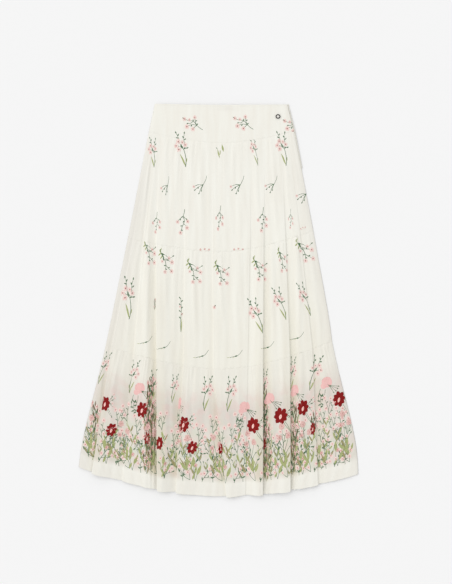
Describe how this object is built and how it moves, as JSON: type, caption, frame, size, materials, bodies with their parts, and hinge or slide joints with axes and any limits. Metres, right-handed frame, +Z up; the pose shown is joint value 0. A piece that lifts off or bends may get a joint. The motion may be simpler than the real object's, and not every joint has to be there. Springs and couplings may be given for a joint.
{
  "type": "maxi skirt",
  "caption": "Long tiered skirt laid flat: fitted waist yoke, gathered tiers that widen to a turned hem, side zip and oval waist badge.",
  "frame": {"origin": "middle of the underside of the whole skirt, on the surface that it lies on", "axes": "+Y from the hem to the waist, +X to the right of the front as seen from above, +Z up, away from the surface"},
  "size_m": [0.6886, 0.9718, 0.0156],
  "materials": {
    "front_crepe": "ivory crinkled crepe, matt, with embroidered sprigs and a flower border",
    "back_crepe": "ivory crinkled crepe, matt, with the same embroidery",
    "embroidery": "satin stitch in green, lime, pink and red thread",
    "badge_metal": "dark polished rim about a pale enamelled floor",
    "zip_tape": "ivory woven tape of a concealed zip, closed",
    "zip_metal": "ivory lacquered metal"
  },
  "bodies": {
    "root": {"yoke_front": "front_crepe", "upper_tier_front": "front_crepe", "middle_tier_front": "front_crepe", "hem_tier_front": "front_crepe", "yoke_back": "back_crepe", "upper_tier_back": "back_crepe", "middle_tier_back": "back_crepe", "hem_tier_back": "back_crepe", "waist_badge": "badge_metal", "side_zip": "zip_tape", "zip_slider": "zip_metal"}
  },
  "joints": []
}
